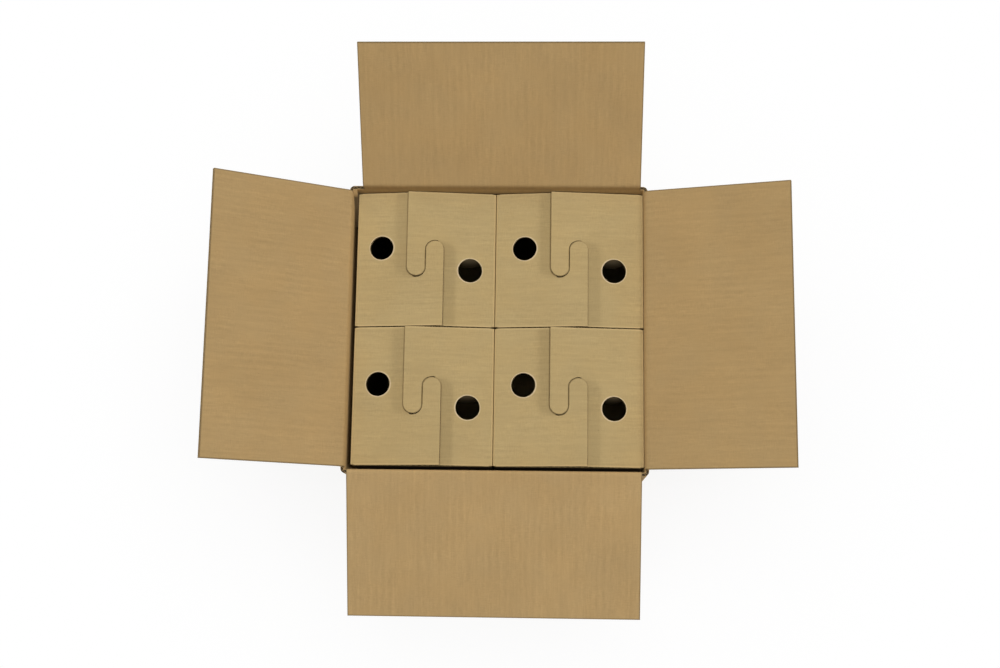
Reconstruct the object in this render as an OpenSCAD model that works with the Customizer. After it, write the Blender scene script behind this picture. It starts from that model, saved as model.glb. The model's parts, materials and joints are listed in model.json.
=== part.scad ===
// Corrugated shipper for four large bottles: an open slotted carton and the four
// bottle boxes that stand in it, each closed by two flaps that lock in an S.
// Origin: centre of the carton's base, on the face it rests on. +Y is the rear.

/* [Bottle boxes] */
// Width of a bottle box across the two lid folds
insert_w = 168; // [140:0.5:200]
// How much narrower the left pair is pressed by the tight carton
left_squeeze = 9; // [0:0.5:12]
// Depth of a bottle box from front to rear
insert_d = 157; // [130:0.5:190]
// Height of a bottle box from its base to the lid folds
insert_h = 312; // [200:1:400]
// Thickness of the bottle boxes' board
insert_t = 3; // [2:0.1:4]
// Width of the glued lap inside a bottle box
lap_w = 32; // [20:1:45]

/* [Lock lid] */
// Rise of the lid flaps from the folds to the middle, in degrees
lid_angle = 7; // [6:0.5:9]
// Width of a locking tongue
tongue_w = 21.5; // [19:0.5:28]
// Reach of a tongue's round end past the middle of the lid
tongue_reach = 20.5; // [16:0.5:30]
// Width of the cut between the two tongues
slit = 0.5; // [0.3:0.1:1]
// Diameter of a finger hole
hole_d = 27.5; // [20:0.5:32]
// Finger hole centre from the lid's middle, across the lid
hole_across = 51; // [44:0.5:58]
// Finger hole centre from the lid's middle, along the lid
hole_along = 13; // [8:0.5:20]
// Angle by which the hole's pushed-in disc is folded down
disc_angle = 80; // [70:1:88]

/* [Carton] */
// Thickness of the carton's board
board_t = 4; // [3:0.1:5]
// Clearance between the bottle boxes and around them
fit_gap = 0.5; // [0.3:0.1:1.5]
// Free space in front of the bottle boxes
front_gap = 6.3; // [1:0.1:10]
// Free height from the lid folds to the top of the side walls
headroom = 19; // [18.5:0.5:40]
// Width of the glued joint tab inside the rear left corner
tab_w = 35; // [25:1:45]
// Slant of the joint tab's ends, in degrees
tab_slant = 45; // [15:5:60]
// Inner radius of the upright corner folds
corner_r = 1.5; // [0.5:0.5:3]

/* [Carton flaps] */
// Cut-back of the left and right flaps from the carton's outer corners
side_inset = 7; // [4:0.5:10]
// Cut-back of the front and rear flaps from the carton's outer corners
end_inset = 8.5; // [6:0.5:12]
// Extra cut-back of the rear flap beside the glued joint
joint_trim = 8; // [0:0.5:15]
// Gap left between the front and rear flaps when they are closed
closing_gap = 8; // [2:0.5:12]
// Seam where the front and rear bottom flaps meet
bottom_seam = 0.5; // [0.3:0.1:4]
// Rise of the open left flap above level, in degrees
left_open = 31; // [0:1:60]
// Rise of the open right flap above level, in degrees
right_open = 16; // [0:1:60]
// Rise of the open front flap above level, in degrees
front_open = -17; // [-40:1:60]
// Rise of the open rear flap above level, in degrees
rear_open = 31; // [0:1:60]

/* [Creases] */
// Clearance of a flap from the wall it folds over
crease_gap = 0.4; // [0.3:0.1:0.8]
// Thickness of the board where it is crushed at a crease
crease_t = 1; // [0.8:0.1:1.5]
// Length over which the crushed board swells to full thickness
crease_run = 5; // [3:0.5:8]

/* [Hidden] */
$fn = 48;

carton_colour = [0.67, 0.55, 0.37];
flap_colour = [0.68, 0.56, 0.39];
insert_colour = [0.70, 0.61, 0.42];

// The left pair stands beside the joint tab, and the right pair against the right wall
left_w = insert_w - left_squeeze;
inside_l = left_w + insert_w + board_t + 3 * fit_gap;
inside_w = 2 * insert_d + 2 * fit_gap + front_gap;
outside_l = inside_l + 2 * board_t;
outside_w = inside_w + 2 * board_t;
floor_z = 2 * board_t;
side_top = floor_z + insert_h + headroom;
end_top = side_top + board_t + crease_gap;

// A flap turns about the round crease, on the outer face of its wall and above its top edge
hinge_rise = board_t + 2 * crease_gap;
root_gap = crease_t + crease_gap;
flap_reach = min(outside_l, outside_w) / 2 - closing_gap / 2;
side_flap_w = outside_w - 2 * side_inset;
front_flap_w = outside_l - 2 * end_inset;
rear_flap_w = front_flap_w - joint_trim;

// Bottle box places: right and rear faces are pushed up to the carton
right_x = inside_l / 2 - fit_gap - insert_w / 2;
left_x = inside_l / 2 - 2 * fit_gap - insert_w - left_w / 2;
rear_y = inside_w / 2 - fit_gap - insert_d / 2;
front_y = rear_y - insert_d - fit_gap;

// Lid flaps cross at the middle, so the lower one starts where the upper clears it
lap_gap = 0.4;
lap_start = (insert_t / cos(lid_angle) + lap_gap) / (2 * tan(lid_angle));
tongue_r = tongue_w / 2;
tongue_centre = tongue_reach - tongue_r;
lid_clear = 0.4;
box_corner = insert_t * 1.25;
fold_bulge = 1.05;
edge_lean = insert_t * sin(lid_angle);

// Root of a lid flap, set into the crushed fold and sunk a little
root_in = insert_t / 5;
root_sink = insert_t / 20;

// Rectangle from one corner to the other
module span(from, to) {
  translate(from)
    square(to - from);
}

// Rectangle about the origin with round corners
module round_rect(size, r) {
  square([size[0] - 2 * r, size[1]], center = true);
  square([size[0], size[1] - 2 * r], center = true);
  for (sx = [-1, 1], sy = [-1, 1])
    translate([sx * (size[0] / 2 - r), sy * (size[1] / 2 - r)])
      circle(r);
}

// Section of a board tube, folded from one strip
module tube_section(size, t, r) {
  difference() {
    round_rect(size, r + t);
    round_rect(size - [2 * t, 2 * t], r);
  }
}

// Section of a bottom flap: bent from the wall over a rounded fold, then flat
module bottom_fold(t, length) {
  span([t, 0], [length, t]);
  intersection() {
    translate([t, t])
      circle(t);
    square(t);
  }
}

// Bottom flap of a box, folded in from the wall that faces -X
module bottom_flap(t, length, width) {
  translate([0, width / 2, 0])
    rotate([90, 0, 0])
      linear_extrude(width)
        bottom_fold(t, length);
}

// Closed bottom of a box: end flaps that meet at a seam, and side flaps lying on them
module closed_bottom(size, t, corner, seam, end_cut, side_cut) {
  reach = min(size[0], size[1]) / 2 - seam / 2;
  for (turn = [90, 270])
    on_wall(turn, size[1] / 2, 0) {
      bottom_flap(t, reach, size[0] - 2 * end_cut);
      translate([0, corner - size[0] / 2, t])
        cube([t, size[0] - 2 * corner, t]);
    }
  for (turn = [0, 180])
    on_wall(turn, size[0] / 2, t)
      bottom_flap(t, reach, size[1] - 2 * side_cut);
}

// Crushed outer liner that stands on a wall and ends in the round crease
module crease_lip(width) {
  translate([0, width / 2, 0])
    rotate([90, 0, 0])
      linear_extrude(width) {
        square([crease_t, hinge_rise]);
        translate([0, hinge_rise])
          circle(crease_t);
      }
}

// Top flap hinged on the wall that faces -X, lying level outside it
module top_flap(width) {
  thick_x = root_gap + crease_run;
  crushed_z = crease_gap + crease_t;
  full_z = crease_gap + board_t;
  translate([0, width / 2, 0])
    rotate([90, 0, 0])
      linear_extrude(width)
        polygon([
          [-root_gap, crease_gap], [-root_gap, crushed_z], [-thick_x, full_z],
          [-flap_reach, full_z], [-flap_reach, crease_gap]
        ]);
}

// Turns a shape made for the wall that faces -X to another wall, outer face at the origin
module on_wall(turn, distance, height) {
  rotate([0, 0, turn])
    translate([-distance, 0, height])
      children();
}

// Folded carton: four walls, glued joint, closed bottom and the crease lips
module carton_body() {
  color(carton_colour) {
    // Walls above the bottom flaps
    translate([0, 0, floor_z])
      linear_extrude(side_top - floor_z)
        tube_section([outside_l, outside_w], board_t, corner_r);
    closed_bottom(
      [outside_l, outside_w], board_t, corner_r + board_t, bottom_seam, end_inset, side_inset
    );
    // Front and rear walls stand one board higher, so their flaps close last
    end_step(90, front_flap_w, 0);
    end_step(270, rear_flap_w, joint_trim / 2);
    for (turn = [0, 180])
      on_wall(turn, outside_l / 2, side_top)
        crease_lip(side_flap_w);
    joint_tab();
  }
}

// Raised top of the front or rear wall with its crease lip
module end_step(turn, width, shift) {
  on_wall(turn, outside_w / 2, side_top)
    translate([0, shift, 0]) {
      translate([0, -width / 2, 0])
        cube([board_t, width, end_top - side_top]);
      translate([0, 0, end_top - side_top])
        crease_lip(width);
    }
}

// Glued tab of the carton joint, with its ends cut at a slant
module joint_tab() {
  slant = tab_w * tan(tab_slant);
  translate([-inside_l / 2, inside_w / 2, 0])
    rotate([90, 0, 90])
      linear_extrude(board_t)
        polygon([
          [0, floor_z], [-tab_w, floor_z + slant],
          [-tab_w, side_top - slant], [0, side_top]
        ]);
}

module flap_left() {
  color(flap_colour)
    on_wall(0, outside_l / 2, side_top + hinge_rise)
      rotate([0, left_open, 0])
        top_flap(side_flap_w);
}

module flap_right() {
  color(flap_colour)
    on_wall(180, outside_l / 2, side_top + hinge_rise)
      rotate([0, right_open, 0])
        top_flap(side_flap_w);
}

module flap_front() {
  color(flap_colour)
    on_wall(90, outside_w / 2, end_top + hinge_rise)
      rotate([0, front_open, 0])
        top_flap(front_flap_w);
}

module flap_rear() {
  color(flap_colour)
    on_wall(270, outside_w / 2, end_top + hinge_rise)
      translate([0, joint_trim / 2, 0])
        rotate([0, rear_open, 0])
          top_flap(rear_flap_w);
}

// Outline of a tongue seen from above, from the lid's edge to its round end
module tongue_outline(extra, edge) {
  span([-extra, edge], [tongue_w + extra, tongue_centre]);
  translate([tongue_r, tongue_centre])
    circle(tongue_r + extra);
}

// Outline of a lid flap in its own plane, with the lid's middle at the origin
module lid_outline(reach) {
  half = insert_d / 2 - lid_clear;
  root = -reach - root_in;
  slant_end = 3 * root_in - reach;
  root_half = half - 2 * root_in;
  polygon([
    [root, -root_half], [slant_end, -half], [-lap_start, -half],
    [-lap_start, half], [slant_end, half], [root, root_half]
  ]);
  difference() {
    union() {
      span([-reach / 2, -half], [0, 0]);
      tongue_outline(0, -half);
    }
    // Room for the other flap's tongue, where that one isn't above this flap
    rotate(180)
      intersection() {
        tongue_outline(slit + 2 * edge_lean, -half);
        span([-slit / 2 - edge_lean, -half], [half, half]);
      }
  }
}

// Disc of the finger hole, folded down at the side nearest the lid's middle
module finger_disc() {
  disc_r = hole_d / 2 - lap_gap;
  root = insert_t / 4;
  translate([-hole_across, hole_along - hole_d / 2 - lap_gap, 0])
    rotate([180 - disc_angle, 0, 0])
      linear_extrude(insert_t)
        translate([0, root - disc_r])
          circle(disc_r);
}

// Rounded fold between a box wall and its lid flap, which bulges a little at the crease
module lid_fold() {
  far = 2 * insert_t;
  flap_turn = 45 + lid_angle;
  rotate([90, 0, 0])
    linear_extrude(insert_d - 2 * lid_clear - insert_t / 3, center = true)
      intersection() {
        circle(insert_t * fold_bulge);
        polygon([
          [0, 0], [0, -far], [-far, -far], [-far, far],
          [far * cos(flap_turn), far * sin(flap_turn)]
        ]);
      }
}

// One lid flap, rising from the fold on the -X wall of a box of this width
module lid_flap(width) {
  fold_x = width / 2 - insert_t;
  reach = fold_x / cos(lid_angle);
  translate([-fold_x, 0, insert_h]) {
    lid_fold();
    rotate([0, -lid_angle, 0])
      translate([reach, 0, -root_sink]) {
        difference() {
          linear_extrude(insert_t)
            lid_outline(reach);
          translate([-hole_across, hole_along, -insert_t])
            cylinder(h = 3 * insert_t, d = hole_d);
        }
        finger_disc();
      }
  }
}

// One bottle box: a glued tube, a closed bottom and the lock lid, from one blank
module bottle_box(width) {
  color(insert_colour) {
    translate([0, 0, 2 * insert_t])
      linear_extrude(insert_h - 2 * insert_t)
        tube_section([width, insert_d], insert_t, box_corner - insert_t);
    // Glued lap on the rear wall, inside and clear of the bottom flaps
    translate([-width / 2 + insert_t, insert_d / 2 - 2 * insert_t, 3 * insert_t])
      cube([lap_w, insert_t, insert_h - 4 * insert_t]);
    closed_bottom(
      [width, insert_d], insert_t, box_corner, 2 * lid_clear, 2 * insert_t, 2 * insert_t
    );
    for (turn = [0, 180])
      rotate([0, 0, turn])
        lid_flap(width);
  }
}

module insert_rear_left() {
  translate([left_x, rear_y, floor_z])
    bottle_box(left_w);
}

module insert_rear_right() {
  translate([right_x, rear_y, floor_z])
    bottle_box(insert_w);
}

module insert_front_left() {
  translate([left_x, front_y, floor_z])
    bottle_box(left_w);
}

module insert_front_right() {
  translate([right_x, front_y, floor_z])
    bottle_box(insert_w);
}

carton_body();
flap_left();
flap_right();
flap_front();
flap_rear();
insert_rear_left();
insert_rear_right();
insert_front_left();
insert_front_right();
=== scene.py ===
import json
import math
from types import SimpleNamespace

import bmesh
import bpy
import numpy as np
from mathutils import Euler, Matrix, Vector


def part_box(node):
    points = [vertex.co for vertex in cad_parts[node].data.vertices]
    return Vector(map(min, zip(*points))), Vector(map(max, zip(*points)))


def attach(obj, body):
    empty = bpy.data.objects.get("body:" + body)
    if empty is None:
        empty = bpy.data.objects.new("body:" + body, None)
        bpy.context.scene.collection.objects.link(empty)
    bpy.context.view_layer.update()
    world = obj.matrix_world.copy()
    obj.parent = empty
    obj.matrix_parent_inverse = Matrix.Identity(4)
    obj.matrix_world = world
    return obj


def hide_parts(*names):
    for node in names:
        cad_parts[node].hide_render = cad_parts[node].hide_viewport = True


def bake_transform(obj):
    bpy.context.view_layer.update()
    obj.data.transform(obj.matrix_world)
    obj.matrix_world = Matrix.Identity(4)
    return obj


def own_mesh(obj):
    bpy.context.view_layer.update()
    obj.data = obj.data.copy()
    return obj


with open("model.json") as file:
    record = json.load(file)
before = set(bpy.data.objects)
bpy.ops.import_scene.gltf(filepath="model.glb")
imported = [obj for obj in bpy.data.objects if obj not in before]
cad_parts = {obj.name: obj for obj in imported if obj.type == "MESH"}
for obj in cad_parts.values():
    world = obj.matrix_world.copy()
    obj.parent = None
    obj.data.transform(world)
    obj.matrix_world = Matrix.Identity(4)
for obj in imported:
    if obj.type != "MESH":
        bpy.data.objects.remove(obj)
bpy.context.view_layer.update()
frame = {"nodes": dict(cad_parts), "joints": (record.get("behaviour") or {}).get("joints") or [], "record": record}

# Carton
# One blank of brown C-flute board, creased, folded round and glued at the rear left corner.
# The flutes stand upright in the walls. Where the flap slots and the joint are cut, they lie bare.

RIGHT, BACK, UP = Vector((1, 0, 0)), Vector((0, 1, 0)), Vector((0, 0, 1))

carton_board_thickness = 0.004
carton_flute_pitch = 0.0079
carton_washboard = 0.9
carton_tint = (0.418, 0.277, 0.120)
crease_thickness = 0.001

joints = {joint["name"].split("_")[0]: joint for joint in frame["joints"]}
hinges = {side: Vector(joint["pos_m"]) for side, joint in joints.items()}
half_length = hinges["right"].x
half_depth = hinges["rear"].y
hinge_rise = 0.0048
side_rim = hinges["left"].z - hinge_rise
rim_tolerance = 0.0002

# The joint in the rear left corner: its raw edge, and the tab that lies inside the wall
raw_edge_width, raw_edge_depth, raw_edge_foot = 0.0045, 0.0056, 2 * carton_board_thickness
joint_tab_depth, joint_tab_foot = 0.0005, 3 * carton_board_thickness

# Painted shade: the inner faces are painted darker from the rim down, the tab's sooner than the walls'
wall_shade, joint_tab_shade = 1.0, 8.0
dark_wall_span = (-0.022, -0.002)
dark_wall_strength, dark_wall_shade = 0.65, 0.2

# A face looks straight, leans, mostly turns or hardly turns in a direction, by these shares of its normal
facing, leaning, mostly, hardly = 0.9, 0.6, 0.5, 0.1


class Value:
    """One output socket of a node tree. Sums and products of values add Math nodes to that tree."""

    def __init__(self, tree, socket=None):
        self.tree = tree
        self.socket = socket

    def node(self, kind, settings=None, inputs=None, output=0):
        made = self.tree.nodes.new(kind)
        for name, setting in (settings or {}).items():
            setattr(made, name, setting)
        for name, value in (inputs or {}).items():
            if isinstance(value, Value):
                self.tree.links.new(value.socket, made.inputs[name])
            else:
                made.inputs[name].default_value = value
        return Value(self.tree, made.outputs[output] if made.outputs else None)

    def out(self, name):
        return Value(self.tree, self.socket.node.outputs[name])

    def math(self, operation, *others):
        return self.node("ShaderNodeMath", {"operation": operation}, dict(enumerate((self, *others))))

    def step(self, low, high, base=0.0):
        span = {"Value": self, "From Min": base + low, "From Max": base + high}
        return self.node("ShaderNodeMapRange", {"interpolation_type": "SMOOTHSTEP"}, span)

    def __abs__(self):
        return self.math("ABSOLUTE")

    def __add__(self, other):
        return self.math("ADD", other)

    def __sub__(self, other):
        return self.math("SUBTRACT", other)

    def __rsub__(self, other):
        return self.node("ShaderNodeMath", {"operation": "SUBTRACT"}, {0: other, 1: self})

    def __mul__(self, other):
        return self.math("MULTIPLY", other)

    def __truediv__(self, other):
        return self.math("DIVIDE", other)

    __radd__ = __add__
    __rmul__ = __mul__


def vector(start, x, y, z):
    return start.node("ShaderNodeCombineXYZ", None, {"X": x, "Y": y, "Z": z})


def noise(place, scale, detail, roughness=0.5):
    sizes = {"Vector": place, "Scale": scale, "Detail": detail, "Roughness": roughness}
    return place.node("ShaderNodeTexNoise", None, sizes)


def blend_colours(share, first, second):
    ends = {0: share, 6: first, 7: second}
    return share.node("ShaderNodeMix", {"data_type": "RGBA"}, ends, output=2)


def shade(tint, *factors):
    """The same paper darker or paler, by one factor or by one each for red, green and blue."""
    factors = factors * 3 if len(factors) == 1 else factors
    return (*(c * f for c, f in zip(tint, factors)), 1.0)


# The pulp's marks: how much each changes the tint, and over which part of the noise it sets in
cloud_strength, stripe_strength, streak_strength, fibre_strength = 0.2, 0.2, 0.2, 0.2
grain_strength, ridge_strength = 0.16, 0.024
ridge_patches, fibre_patches = (0.42, 0.68), (0.3, 0.65)
least_fibres, patchy_fibres = 0.45, 0.8
redder, bluer, hue_span = (1.007, 0.998, 0.982), (0.993, 1.002, 1.018), (0.3, 0.7)
fleck_size, fleck_chance = (0.02, 0.05), (0.80, 0.92)
fleck_strength, fleck_shade = 0.6, 0.42

# A cut edge's wave and liners, and how dark its hollows in painted shade, its paper and the fluting are beside the
# liner
wave_share = 0.37
shown_flute, shown_liner, edge_softness = 0.0002, 0.0004, 0.0002
hollow_shade, raw_shade, fluting_shade = 0.10, 0.80, 0.55

# The board's relief and sheen
fibre_relief, bare_flute_relief, relief_depth = 0.5, 6, 0.00006
board_roughness, grain_roughness = 0.86, 0.12


def kraft_board(name, tint, pitch, thickness, washboard=0.0, marks=None):
    """Brown kraft liner: mottled pulp, fibres and flecks, flute lines, and bare flutes where it is cut.

    marks adds what only one piece has. It gets the colour, the board map, the place and each face's painted shade.
    """
    material = bpy.data.materials.new(name)
    material.use_nodes = True
    tree = material.node_tree
    tree.nodes.clear()
    start = Value(tree)

    # The board map runs across the flutes, then along them or, on a cut edge, through the board
    board = start.node("ShaderNodeUVMap", {"uv_map": "board"})
    across = board.node("ShaderNodeSeparateXYZ", None, {0: board})
    along = across.out("Y")
    place = start.node("ShaderNodeTexCoord", output="Object")
    phase = across * (2 * math.pi / pitch)

    def drawn_out(across_scale, along_scale, roughness=0.5):
        """Noise that is drawn out along the flutes or across them."""
        stretched = vector(start, across * across_scale, along * along_scale, 0)
        return noise(stretched, scale=1, detail=2, roughness=roughness) - 0.5

    # Pulp: wide clouds, long stripes and short streaks along the flutes, and fibres lying across them
    clouds = noise(place, scale=14, detail=4, roughness=0.6) - 0.5
    patches = noise(place, scale=34, detail=2)
    stripes = drawn_out(across_scale=260, along_scale=16)
    streaks = drawn_out(across_scale=640, along_scale=95)
    fibres = drawn_out(across_scale=150, along_scale=760, roughness=0.6)
    grain = noise(place, scale=1500, detail=2, roughness=0.6) - 0.5
    ridges = phase.math("COSINE")
    shown_ridges = ridges * patches.step(*ridge_patches)
    fibrous = streaks * streak_strength + fibres * fibre_strength
    fibrous = fibrous * (patches.step(*fibre_patches) * patchy_fibres + least_fibres)
    tone = 1 + clouds * cloud_strength + stripes * stripe_strength + fibrous
    tone = tone + grain * grain_strength + shown_ridges * ridge_strength
    hue = noise(place, scale=26, detail=3).step(*hue_span)
    pulp = blend_colours(hue, shade(tint, *redder), shade(tint, *bluer))
    pulp = pulp.node("ShaderNodeVectorMath", {"operation": "SCALE"}, {0: pulp, "Scale": tone})

    # Flecks of bark, a few to the hand's breadth
    cells = place.node("ShaderNodeTexVoronoi", None, {"Vector": place, "Scale": 95})
    chance = cells.node("ShaderNodeSeparateXYZ", None, {0: cells.out("Color")})
    flecks = (1 - cells.step(*fleck_size)) * chance.step(*fleck_chance)
    pulp = blend_colours(flecks * fleck_strength, pulp, shade(tint, fleck_shade))
    if marks:
        spot = place.node("ShaderNodeSeparateXYZ", None, {0: place})
        inside = start.node("ShaderNodeAttribute", {"attribute_name": "inside"}, output="Fac")
        pulp = marks(pulp, across, spot, inside)

    # Bare flutes on a cut edge: two liners, the wave between them and the hollows in painted shade
    cut = start.node("ShaderNodeAttribute", {"attribute_name": "cut"}, output="Fac")
    wave = phase.math("SINE") * (thickness * wave_share) + thickness / 2
    flute = 1 - abs(along - wave).step(shown_flute, shown_flute + edge_softness)
    liner = abs(along - thickness / 2).step(-shown_liner - edge_softness, -shown_liner, base=thickness / 2)
    paper = flute.math("MAXIMUM", liner)
    edge = blend_colours(paper, shade(tint, hollow_shade), shade(tint, raw_shade))
    fluting = start.node("ShaderNodeAttribute", {"attribute_name": "fluting"}, output="Fac")
    colour = blend_colours(fluting, pulp, shade(tint, fluting_shade))
    colour = blend_colours(cut, colour, edge)

    height = fibres * fibre_relief + grain + ridges * washboard + cut * paper * bare_flute_relief
    relief = {"Height": height, "Strength": 0.6, "Distance": relief_depth}
    bump = height.node("ShaderNodeBump", None, relief)
    surface = start.node(
        "ShaderNodeBsdfPrincipled",
        None,
        {
            "Base Color": colour,
            "Roughness": grain * grain_roughness + board_roughness,
            "Specular IOR Level": 0.22,
            "Normal": bump,
        },
    )
    start.node("ShaderNodeOutputMaterial", None, {"Surface": surface})
    return material


merge_distance = 1e-6
board_sharp_angle = math.radians(35)


def board_copy(name, node, faces):
    """A merged copy of a CAD node with its board map. faces says how each face lies in the board."""
    source = frame["nodes"][node].data
    mesh = bpy.data.meshes.new(name)
    mesh.from_pydata([v.co for v in source.vertices], [], [tuple(p.vertices) for p in source.polygons])
    shape = bmesh.new()
    shape.from_mesh(mesh)
    bmesh.ops.remove_doubles(shape, verts=shape.verts, dist=merge_distance)
    shape.normal_update()
    board = shape.loops.layers.uv.new("board")
    cut = shape.faces.layers.float.new("cut")
    inside = shape.faces.layers.float.new("inside")
    for face in shape.faces:
        across, along, begin, bare, shaded = faces(face.calc_center_median(), face.normal)
        face[cut] = bare
        face[inside] = shaded
        face.smooth = True
        for loop in face.loops:
            loop[board].uv = (loop.vert.co.dot(across), loop.vert.co.dot(along) - begin)
    shape.to_mesh(mesh)
    shape.free()
    mesh.set_sharp_from_angle(angle=board_sharp_angle)
    piece = bpy.data.objects.new(name, mesh)
    bpy.context.collection.objects.link(piece)
    return piece


def lying(across, along, begin=0.0, bare=0.0, shaded=0.0):
    """How a face lies in the board: its two directions and where the second begins.

    bare is 1 where its flutes show, and shaded is how soon painted shade darkens it.
    """
    return across, along, begin, bare, shaded


def carton_faces(centre, normal):
    on_side = half_length - abs(centre.x) < half_depth - abs(centre.y)
    outwards = RIGHT * math.copysign(1, centre.x) if on_side else BACK * math.copysign(1, centre.y)
    across = BACK if on_side else RIGHT
    inner_face = (half_length if on_side else half_depth) - carton_board_thickness
    depth = centre.dot(outwards) - inner_face

    # The slots' edges and the joint's raw edge show bare flutes
    slot_edge = normal.z > facing or abs(normal.dot(across)) > facing
    above_rim = centre.z > side_rim - rim_tolerance
    if above_rim and slot_edge and depth < carton_board_thickness - crease_thickness:
        return lying(across, outwards, inner_face, bare=1.0)
    at_joint = centre.x < raw_edge_width - half_length and centre.y > half_depth - raw_edge_depth
    if at_joint and normal.y > leaning and centre.z > raw_edge_foot:
        return lying(BACK, -RIGHT, half_length - carton_board_thickness, bare=1.0)

    # The rest is liner. The joint tab and the faces turned to the carton's interior get painted shade
    if depth < -joint_tab_depth and centre.z > joint_tab_foot:
        return lying(across, UP, shaded=joint_tab_shade)
    if abs(normal.z) > mostly:
        return lying(RIGHT, BACK)
    return lying(across, UP, shaded=wall_shade if normal.dot(outwards) < -facing else 0.0)


def darker_downwards(pulp, board, spot, inside):
    """Painted shade: the walls' inner faces are painted darker the further they go down."""
    depth = 1 - spot.out("Z").step(*dark_wall_span, base=side_rim)
    return blend_colours(inside * depth * dark_wall_strength, pulp, shade(carton_tint, dark_wall_shade))


carton = board_copy("carton_board", "carton_body", carton_faces)
carton_kraft = kraft_board(
    "carton_kraft",
    carton_tint,
    carton_flute_pitch,
    carton_board_thickness,
    carton_washboard,
    darker_downwards,
)
carton.data.materials.append(carton_kraft)
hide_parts("carton_body")
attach(carton, "carton")

# Top flaps
# Four flaps of the same blank. Each is two flat liners with the fluted paper glued between them.
# The flutes run from crease to free edge, so the waves show on the free edge, and the crease is crushed.

# Painted light and shade: each flap's tint is set paler or darker for how the light falls on it
painted_flap_light = {
    "left": (0.99, 0.993, 1.0),
    "right": (0.91, 0.909, 0.896),
    "front": (1.023, 1.024, 1.043),
    "rear": (0.915, 0.906, 0.891),
}
liner_thickness = 0.00045
medium_thickness = 0.0003
wave_height = carton_board_thickness / 2 - liner_thickness - medium_thickness / 2
crease_run = 0.005
# A thin darker line along the flaps' free edges
edge_line = (-0.0017, -0.0005)
edge_line_tone = (0.58, 0.6, 0.62)
flap_sharp_angle = math.radians(40)

# Rows of points stand closer together towards the crease, and the liners sag a little between the flutes
rows_along = 22
crease_crowding = 1.8
sag = 0.00003

flap_tree = bpy.data.node_groups.new("corrugated_flap", "GeometryNodeTree")
flap_tree.interface.new_socket("Geometry", in_out="INPUT", socket_type="NodeSocketGeometry")
for socket_name in ("Width", "Reach", "Thickness", "Crushed", "Crease Run", "Pitch"):
    flap_tree.interface.new_socket(socket_name, in_out="INPUT", socket_type="NodeSocketFloat")
flap_tree.interface.new_socket("Board", in_out="INPUT", socket_type="NodeSocketMaterial")
flap_tree.interface.new_socket("Geometry", in_out="OUTPUT", socket_type="NodeSocketGeometry")

given = Value(flap_tree).node("NodeGroupInput")
width, reach, thickness = given.out("Width"), given.out("Reach"), given.out("Thickness")
pitch = given.out("Pitch")

sheets = []
for sheet, sheet_thickness, points_a_flute, is_medium in (
    ("outer liner", liner_thickness, 6, 0.0),
    ("medium", medium_thickness, 12, 1.0),
    ("inner liner", liner_thickness, 6, 0.0),
):
    counts = {
        "Size": vector(given, width, reach, sheet_thickness),
        "Vertices X": width / pitch * points_a_flute,
        "Vertices Y": rows_along,
        "Vertices Z": 2,
    }
    slab = given.node("GeometryNodeMeshCube", None, counts)
    position = given.node("GeometryNodeInputPosition")
    spot = position.node("ShaderNodeSeparateXYZ", None, {0: position})
    share = (spot.out("Y") / reach + 0.5).math("MAXIMUM", 0.0)
    share = share.math("POWER", crease_crowding)
    crest = (spot / pitch * (2 * math.pi)).math("SINE")
    if sheet == "medium":
        height = spot.out("Z") + thickness / 2 + crest * wave_height
    elif sheet == "inner liner":
        height = spot.out("Z") + thickness - liner_thickness / 2 + (crest - 1) * sag
    else:
        height = spot.out("Z") + liner_thickness / 2 + (crest + 1) * sag
    run = {
        "Value": share * reach,
        "From Min": 0.0,
        "From Max": given.out("Crease Run"),
        "To Min": given.out("Crushed") / thickness,
    }
    squeeze = share.node("ShaderNodeMapRange", {"interpolation_type": "SMOOTHSTEP"}, run)
    moved = vector(given, spot, share * reach, height * squeeze)
    slab = slab.node("GeometryNodeSetPosition", None, {"Geometry": slab, "Position": moved})
    mark = {"data_type": "FLOAT", "domain": "FACE"}
    slab = slab.node(
        "GeometryNodeStoreNamedAttribute", mark, {"Geometry": slab, "Name": "fluting", "Value": is_medium}
    )
    sheets.append(slab)
joined = given.node("GeometryNodeJoinGeometry")
for slab in sheets:
    flap_tree.links.new(slab.socket, joined.socket.node.inputs[0])
whole = joined.node("GeometryNodeRealizeInstances", None, {"Geometry": joined})
whole = whole.node("GeometryNodeSetMaterial", None, {"Geometry": whole, "Material": given.out("Board")})
whole.node("NodeGroupOutput", None, {"Geometry": whole})


def plain_mesh(piece):
    """Turns a piece's Geometry Nodes result into its own mesh and takes the modifier off."""
    evaluated = piece.evaluated_get(bpy.context.evaluated_depsgraph_get())
    piece.data = bpy.data.meshes.new_from_object(evaluated)
    piece.modifiers.clear()
    return piece.data


def map_board(mesh, across, along):
    """Writes the board map from two arrays of numbers, one for each vertex."""
    corners = np.empty(len(mesh.loops), np.int32)
    mesh.loops.foreach_get("vertex_index", corners)
    board = mesh.uv_layers.new(name="board")
    board.data.foreach_set("uv", np.column_stack((across, along))[corners].astype(np.float32).ravel())


def vertices(mesh):
    places = np.empty(len(mesh.vertices) * 3, np.float32)
    mesh.vertices.foreach_get("co", places)
    return places.reshape(-1, 3)


def dark_edges_of(flap_width, flap_reach, flap_tint):
    def dark_edges(pulp, board, spot, inside):
        """A thin darker line along the free edges."""
        side_edge = abs(board).step(*edge_line, base=flap_width / 2)
        far_edge = board.out("Y").step(*edge_line, base=flap_reach)
        return blend_colours(side_edge.math("MAXIMUM", far_edge), pulp, shade(flap_tint, *edge_line_tone))

    return dark_edges


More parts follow.
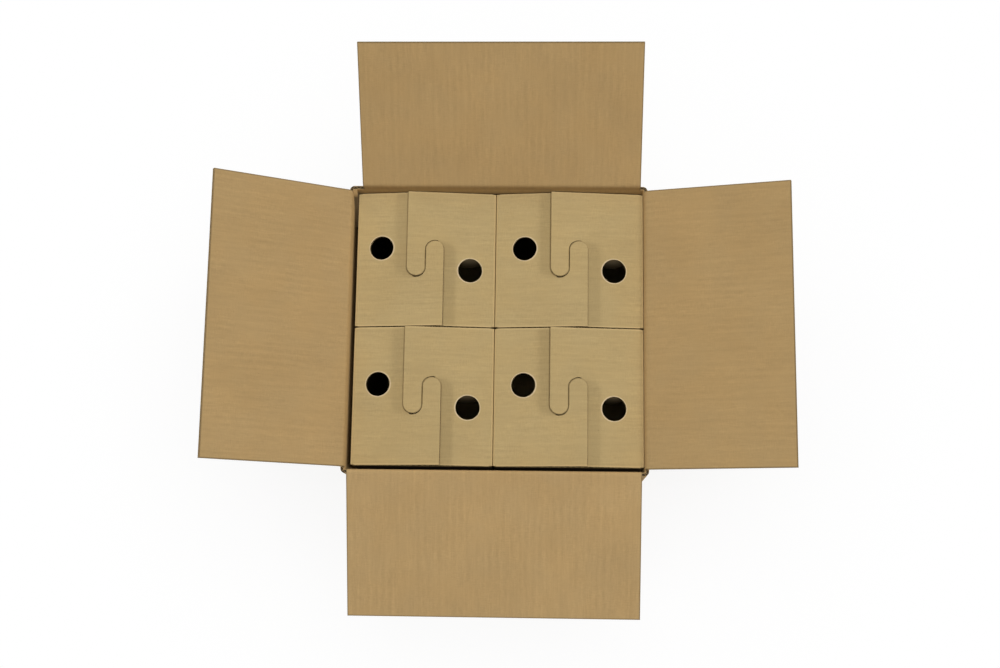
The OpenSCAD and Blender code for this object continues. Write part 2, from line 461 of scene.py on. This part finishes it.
flap_kraft = {}
flap_frames = {}
for side, hinge in hinges.items():
    solid = frame["nodes"]["flap_" + side].data
    outwards = Vector((hinge.x, hinge.y, 0)).normalized()
    along = outwards.cross(UP)
    top = max(solid.polygons, key=lambda face: face.area if face.normal.z > 0 else 0).normal.copy()
    reaching = top.cross(along)
    local = np.array([[(v.co - hinge).dot(a) for a in (along, reaching, top)] for v in solid.vertices])
    low, high = local.min(0), local.max(0)
    place = Matrix((along, reaching, top)).transposed().to_4x4()
    place.translation = hinge + along * (low[0] + high[0]) / 2 + reaching * low[1] + top * low[2]
    flap_frames[side] = SimpleNamespace(
        outwards=outwards,
        along=along,
        lean=math.atan2(reaching.z, reaching.dot(outwards)),
        ends=(low[0], high[0]),
        root=low[1],
        outer_face=low[2],
    )
    flap_width, flap_reach, flap_thickness = high - low
    flap_tint = shade(carton_tint, *painted_flap_light[side])[:3]
    flap_kraft[side] = kraft_board(
        side + "_flap_kraft",
        flap_tint,
        carton_flute_pitch,
        carton_board_thickness,
        marks=dark_edges_of(flap_width, flap_reach, flap_tint),
    )

    flap = bpy.data.objects.new(side + "_flap_board", bpy.data.meshes.new(side + "_flap_board"))
    bpy.context.collection.objects.link(flap)
    maker = flap.modifiers.new("corrugated", "NODES")
    maker.node_group = flap_tree
    sizes = {
        "Width": flap_width,
        "Reach": flap_reach,
        "Thickness": flap_thickness,
        "Crushed": crease_thickness,
        "Crease Run": crease_run,
        "Pitch": carton_flute_pitch,
        "Board": flap_kraft[side],
    }
    for item in flap_tree.interface.items_tree:
        if item.in_out == "INPUT" and item.name in sizes:
            size = sizes[item.name]
            maker[item.identifier] = size if item.name == "Board" else float(size)
    mesh = plain_mesh(flap)
    flat = vertices(mesh)
    map_board(mesh, flat[:, 0], flat[:, 1])
    mesh.transform(place)
    mesh.polygons.foreach_set("use_smooth", [True] * len(mesh.polygons))
    mesh.set_sharp_from_angle(angle=flap_sharp_angle)
    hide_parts("flap_" + side)
    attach(flap, side + "_flap")

# Creases
# The kraft liners run unbroken from wall to flap, on both faces, as thin strips over the crease.
# On a crease that turns past a half turn they are parted: the roll and the outer bead stay on the wall, the inner
# strip goes with the flap.

half_turn = 180
strip_thickness = 0.0003
strip_lift = 0.00008
strip_stations = 48
strip_overlap = 0.004
liner_overlap = 0.003
strip_sharp_angle = math.radians(60)

# The inner liner's roll: where it ends on the flap, how sharply it bends and how it folds flat
roll_reach, parted_roll_reach = 0.0016, -0.0004
roll_points = 18
knee_sharpness = 0.9

# The outer liner's bead: a parted one stays on the wall and wraps further round
bead_radius = 0.0013
bead_points = 12
bead_foot = 0.0026
bead_root = 0.0003
bead_back = math.radians(8)
parted_bead_start = math.radians(150)
bead_end, parted_bead_end = math.radians(-62), math.radians(-80)


def across_crease(side, point, distance=0.0):
    """A point of a crease's section, placed in the frame at a distance along the crease."""
    flap_frame = flap_frames[side]
    return hinges[side] + flap_frame.along * distance + flap_frame.outwards * point.x + UP * point.y


def on_flap(side, run, lift):
    """A point of a flap's section, measured along the flap from the hinge and above its outer face."""
    lean = flap_frames[side].lean
    height = flap_frames[side].outer_face + lift
    return Vector((
        run * math.cos(lean) - height * math.sin(lean),
        run * math.sin(lean) + height * math.cos(lean),
    ))


def crease_strip(name, side, profile):
    """A strip along a crease. profile runs (outwards, up) from the hinge, with its face on the left."""
    backs = []
    for i, point in enumerate(profile):
        step = profile[min(i + 1, len(profile) - 1)] - profile[max(i - 1, 0)]
        backs.append(point + Vector((step.y, -step.x)).normalized() * strip_thickness)
    ring = profile + backs[::-1]
    steps = [(b - a).length for a, b in zip(profile, profile[1:])]
    lengths = np.concatenate(([0], np.cumsum(steps))) - sum(steps)
    first, last = flap_frames[side].ends
    distances = np.linspace(first, last, strip_stations)
    shape = bmesh.new()
    rows = []
    for distance in distances:
        rows.append([shape.verts.new(across_crease(side, point, distance)) for point in ring])
    for row, following in zip(rows, rows[1:]):
        for i in range(len(ring)):
            j = (i + 1) % len(ring)
            shape.faces.new((row[i], row[j], following[j], following[i]))
    shape.faces.new(rows[0][::-1])
    shape.faces.new(rows[-1])
    bmesh.ops.recalc_face_normals(shape, faces=shape.faces)
    for face in shape.faces:
        face.smooth = True
    mesh = bpy.data.meshes.new(name)
    shape.to_mesh(mesh)
    shape.free()
    across = np.repeat(distances - (first + last) / 2, len(ring))
    map_board(mesh, across, np.tile(np.concatenate((lengths, lengths[::-1])), strip_stations))
    mesh.materials.append(flap_kraft[side])
    mesh.set_sharp_from_angle(angle=strip_sharp_angle)
    strip = bpy.data.objects.new(name, mesh)
    bpy.context.collection.objects.link(strip)
    return strip


for side, joint in joints.items():
    parted = max(abs(turn) for turn in joint["range_deg"]) > half_turn
    lean, root, outer_face = flap_frames[side].lean, flap_frames[side].root, flap_frames[side].outer_face

    # The inner liner rolls from the wall's inner face over into the flap. The knee is where both would meet
    face_lift = carton_board_thickness + strip_lift
    wall_inside = -carton_board_thickness - strip_lift
    rim = Vector((wall_inside, -hinge_rise))
    foot = rim - Vector((0, strip_overlap))
    knee_run = (wall_inside + (outer_face + face_lift) * math.sin(lean)) / math.cos(lean)
    knee = on_flap(side, knee_run, face_lift)
    roll_end = on_flap(side, root + (parted_roll_reach if parted else roll_reach), face_lift)
    wall_pull, flap_pull = rim.lerp(knee, knee_sharpness), roll_end.lerp(knee, knee_sharpness)
    roll = [
        rim * (1 - s) ** 3 + (wall_pull * (1 - s) + flap_pull * s) * (3 * s * (1 - s)) + roll_end * s ** 3
        for s in np.linspace(0, 1, roll_points)
    ]
    on_liner = on_flap(side, root + crease_run + liner_overlap, face_lift)

    # The outer liner goes from the flap's outer face round the bead of the crease and down the wall
    flap_foot = on_flap(side, root + strip_overlap, -strip_lift)
    flap_side = on_flap(side, root + bead_root, -strip_lift)
    bead_start = parted_bead_start if parted else math.atan2(flap_side.y, flap_side.x) - bead_back
    bead = [
        Vector((math.cos(turn), math.sin(turn))) * bead_radius
        for turn in np.linspace(bead_start, parted_bead_end if parted else bead_end, bead_points)
    ]
    wall_side = Vector((strip_lift, -bead_foot))
    wall_foot = wall_side - Vector((0, strip_overlap))

    if parted:
        buckled = crease_strip(side + "_crease_roll", side, [foot, *roll])
        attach(buckled, "carton")
        side + "_crease"
        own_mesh(buckled)
        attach(crease_strip(side + "_inner_crease", side, [roll_end, on_liner]), side + "_flap")
        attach(crease_strip(side + "_outer_crease", side, [*bead, wall_side, wall_foot]), "carton")
    else:
        inner = crease_strip(side + "_inner_crease", side, [foot, *roll, on_liner])
        side + "_flap"
        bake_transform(inner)
        over_bead = [flap_foot, flap_side, *bead, wall_side, wall_foot]
        outer = crease_strip(side + "_outer_crease", side, over_bead)
        side + "_flap"
        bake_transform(outer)

# Bottle boxes
# Four folded boxes of thinner B-flute board, a shade yellower than the carton, packed side by side.
# Each lid is two flaps whose tongues lock over one another in an S. Each flap has a punched finger hole.

box_board_thickness = 0.003
box_flute_pitch = 0.0064
box_washboard = 0.5
box_tint = (0.4145, 0.3025, 0.137)
box_height = 0.312
box_floor = 0.01
box_tolerance = 0.0001
lid_slope = math.radians(7)
lid_clearance = 0.0004
fold_bulge = 0.05 * box_board_thickness
fold_width = 0.0015
root_sink = box_board_thickness / 20
tongue_radius = 0.01075
tongue_centre = 0.00975
finger_hole_radius = 0.01375
# Painted shade weights for the interior and for the walls at the front gap
inside_shade, front_gap_shade = 1.0, 2.0

# The marks on the board, painted highlights and painted shade among them: where each sets in, its strength and
# what it makes of the tint
lid_span = (-0.003, -0.001)
# Painted highlight along the lids' folds and cut ends
fold_highlight, end_highlight = (-0.0024, -0.0012), (-0.0022, -0.0010)
highlight_strength, highlight_tint = 0.5, (1.35, 1.35, 1.4)
# The dark line along the S: the crushed cut and the painted shade of the slit
slit_line, slit_fades = (0.0004, 0.0012), (0.008, 0.02)
slit_strength, slit_strength_lost, slit_shade = 0.58, 0.38, (0.4, 0.37, 0.3)
frayed_rim = (0.0005, 0.0016)
frayed_strength, frayed_shade = 0.75, (1.5, 1.62, 2.2)
# Painted shade: how dark the interior and the slits get, deeper further down
dark_span = (-0.02, 0.003)
dark_strength, dark_strength_lost, dark_shade = 0.96, 0.5, (0.10, 0.08, 0.04)

finger_holes = {}
for opening in frame["record"]["physics"]["openings"]:
    if opening["name"].startswith("finger_hole_"):
        row, column = opening["name"].split("_")[2:4]
        middle = (Vector(opening["box_m"][0]) + Vector(opening["box_m"][1])) / 2
        finger_holes.setdefault(f"insert_{row}_{column}", []).append(middle)


def box_faces_of(node):
    low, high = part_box(node)
    centre_x, centre_y = (low.x + high.x) / 2, (low.y + high.y) / 2
    fold_z = low.z + box_height
    fold_reach = (high.x - low.x) / 2 - fold_bulge - box_board_thickness
    inner_depth = (high.y - low.y) / 2 - box_board_thickness
    lids = []
    for sign in (-1, 1):
        rising = Vector((sign * math.sin(lid_slope), 0, math.cos(lid_slope)))
        root = Vector((centre_x + sign * fold_reach, centre_y, fold_z - root_sink))
        lids.append((rising, root.dot(rising)))

    def box_faces(centre, normal):
        # The lid's cut edges and the walls' top edges show bare flutes
        from_middle = abs(centre.x - centre_x)
        half = box_board_thickness / 2
        rising, begin = min(lids, key=lambda lid: abs(centre.dot(lid[0]) - lid[1] - half))
        height = centre.dot(rising) - begin
        in_board = -box_tolerance < height < box_board_thickness + box_tolerance
        in_lid = in_board and centre.z > fold_z + box_tolerance and from_middle <= fold_reach - fold_width
        if in_lid and max(abs(normal.dot(lid[0])) for lid in lids) < facing:
            return lying(BACK, rising, begin, bare=1.0)
        if abs(centre.z - fold_z) < box_tolerance and normal.z > facing:
            outwards = BACK * math.copysign(1, centre.y - centre_y)
            return lying(RIGHT, outwards, inner_depth + centre_y * outwards.y, bare=1.0)

        # The rest is liner. The interior and the upright outer faces get painted shade, most on the walls at the
        # front gap
        within_x = from_middle < fold_reach + box_tolerance
        within_y = abs(centre.y - centre_y) < inner_depth + box_tolerance
        within = within_x and within_y and height < box_tolerance
        shaded = 0.0
        if centre.z > low.z + box_floor and (within or abs(normal.z) < hardly):
            at_front_gap = not within and normal.y < -facing and node.startswith("insert_front")
            shaded = front_gap_shade if at_front_gap else inside_shade
        if centre.z > fold_z or abs(normal.z) > mostly:
            return lying(BACK, RIGHT, shaded=shaded)
        return lying(BACK if abs(normal.x) > abs(normal.y) else RIGHT, UP, shaded=shaded)

    return box_faces


def distance_of(aside, beyond):
    return (aside * aside + beyond * beyond).math("SQRT")


def box_marks_of(node):
    low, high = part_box(node)
    fold_z = low.z + box_height
    half_width, half_lid_depth = (high.x - low.x) / 2, (high.y - low.y) / 2 - lid_clearance

    def box_marks(pulp, board, spot, inside):
        off_x, off_y = spot - (low.x + high.x) / 2, spot.out("Y") - (low.y + high.y) / 2
        on_lid = spot.out("Z").step(*lid_span, base=fold_z)

        # Painted highlight: the folds and the cut ends are paler where they catch the light
        fold = abs(off_x).step(*fold_highlight, base=half_width)
        cut_end = abs(off_y).step(*end_highlight, base=half_lid_depth)
        highlight = fold.math("MAXIMUM", cut_end) * on_lid
        pulp = blend_colours(highlight * highlight_strength, pulp, shade(box_tint, *highlight_tint))

        # A dark line along the S, the crushed cut and its painted shade, weaker right of the middle. Each tongue
        # is a straight strip with a round end
        for sign in (-1, 1):
            aside = off_x * sign - tongue_radius
            beyond = (off_y * sign - tongue_centre).math("MAXIMUM", 0.0)
            offset = distance_of(aside, beyond) - tongue_radius
            line = 1 - abs(offset).step(*slit_line)
            uncut = aside.math("LESS_THAN", 0.0) * (off_y * sign).math("LESS_THAN", -tongue_centre)
            strength = on_lid * (slit_strength - off_x.step(*slit_fades) * slit_strength_lost)
            pulp = blend_colours(line * (1 - uncut) * strength, pulp, shade(box_tint, *slit_shade))

        # A punched hole's rim is frayed paler
        for hole in finger_holes[node]:
            from_rim = distance_of(spot - hole.x, spot.out("Y") - hole.y) - finger_hole_radius
            frayed = 1 - from_rim.step(*frayed_rim)
            pulp = blend_colours(frayed * frayed_strength, pulp, shade(box_tint, *frayed_shade))

        # Painted shade: the interior and the faces in the slits between boxes are painted darker, more so further
        # down
        height = spot.out("Z").step(*dark_span, base=fold_z)
        dark = inside * (dark_strength - height * dark_strength_lost)
        return blend_colours(dark, pulp, shade(box_tint, *dark_shade))

    return box_marks


bottle_boxes = []
for row in ("rear", "front"):
    for column in ("left", "right"):
        node = f"insert_{row}_{column}"
        bottle_box = board_copy(f"{row}_{column}_bottle_box", node, box_faces_of(node))
        box_kraft = kraft_board(
            f"{row}_{column}_kraft",
            box_tint,
            box_flute_pitch,
            box_board_thickness,
            box_washboard,
            box_marks_of(node),
        )
        bottle_box.data.materials.append(box_kraft)
        bottle_boxes.append(bottle_box)
        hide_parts(node)
        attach(bottle_box, "carton")

# Studio
# A white sweep under soft light from both sides, seen from nearly overhead.
# The floor shows white to the camera and keeps a faint shadow of the carton.

floor_half = 8.0
floor_white = (0.92, 0.92, 0.92, 1.0)
pure_white = (1, 1, 1, 1)
shadow_share = 0.15
shadow_fades_from, shadow_gone_at = 0.22, 0.65
sky_level = 0.2


def seen(start):
    """1 for rays from the camera, also reflected or through glass, and 0 for rays that light other things."""
    rays = start.node("ShaderNodeLightPath")
    direct = rays.out("Is Camera Ray").math("MAXIMUM", rays.out("Is Glossy Ray"))
    return direct.math("MAXIMUM", rays.out("Is Transmission Ray"))


floor_mesh = bpy.data.meshes.new("studio_floor")
floor_corners = [(x * floor_half, y * floor_half, 0) for x, y in ((-1, -1), (1, -1), (1, 1), (-1, 1))]
floor_mesh.from_pydata(floor_corners, [], [(0, 1, 2, 3)])
floor = bpy.data.objects.new("studio_floor", floor_mesh)
bpy.context.collection.objects.link(floor)
paper_white = bpy.data.materials.new("studio_white")
paper_white.use_nodes = True
paper_white.node_tree.nodes.clear()
start = Value(paper_white.node_tree)
spot = start.node("ShaderNodeTexCoord", output="Object")
away = spot.node("ShaderNodeVectorMath", {"operation": "LENGTH"}, {0: spot}, output="Value")
shaded = (1 - away.step(shadow_fades_from, shadow_gone_at)) * shadow_share
lit = start.node("ShaderNodeBsdfDiffuse", None, {"Color": floor_white})
glow = start.node("ShaderNodeEmission", None, {"Color": pure_white, "Strength": 1.0})
mixed = start.node("ShaderNodeMixShader", None, {0: seen(start) * (1 - shaded), 1: lit, 2: glow})
start.node("ShaderNodeOutputMaterial", None, {"Surface": mixed})
floor_mesh.materials.append(paper_white)

scene = bpy.context.scene
scene.view_settings.view_transform = "Standard"
sky = bpy.data.worlds.new("soft_sky")
sky.use_nodes = True
sky.node_tree.nodes.clear()
start = Value(sky.node_tree)
ambient = start.node("ShaderNodeBackground", None, {"Color": pure_white, "Strength": sky_level})
backdrop = start.node("ShaderNodeBackground", None, {"Color": pure_white, "Strength": 1.0})
mixed = start.node("ShaderNodeMixShader", None, {0: seen(start), 1: ambient, 2: backdrop})
start.node("ShaderNodeOutputWorld", None, {"Surface": mixed})
scene.world = sky

# The side lamps reach the lids as if these stood level with the rim: only the boxes cast their shadows
lids_in_side_light = bpy.data.collections.new("lids_in_side_light")
for bottle_box in bottle_boxes:
    lids_in_side_light.objects.link(bottle_box)

for lamp_name, lamp_place, lamp_watts, lamp_width, lamp_height in (
    ("overhead_softbox", (0.3, 0.0, 2.7), 27.1, 1.3, 1.3),
    ("left_softbox", (-3.0, 0.2, 1.79), 56.0, 1.8, 0.32),
    ("right_softbox", (3.0, 0.2, 1.79), 56.0, 1.8, 0.52),
):
    lamp_data = bpy.data.lights.new(lamp_name, "AREA")
    lamp_data.energy = lamp_watts
    lamp_data.shape = "RECTANGLE"
    lamp_data.size = lamp_width
    lamp_data.size_y = lamp_height
    lamp = bpy.data.objects.new(lamp_name, lamp_data)
    lamp.location = lamp_place
    aim = Vector((0, 0, side_rim)) - lamp.location
    lamp.rotation_euler = aim.to_track_quat("-Z", "Y").to_euler()
    if lamp_name != "overhead_softbox":
        lamp.light_linking.blocker_collection = lids_in_side_light
    bpy.context.collection.objects.link(lamp)

photo_width = 1000
focal_pixels = 1395
camera_data = bpy.data.cameras.new("overhead_camera")
camera_data.sensor_width = 36.0
camera_data.lens = focal_pixels / photo_width * camera_data.sensor_width
camera = bpy.data.objects.new("overhead_camera", camera_data)
camera.location = (0.06164, -0.29065, 1.87649)
camera.rotation_euler = Euler([math.radians(a) for a in (10.4747, 1.9855, 0.7994)])
bpy.context.collection.objects.link(camera)
scene.camera = camera
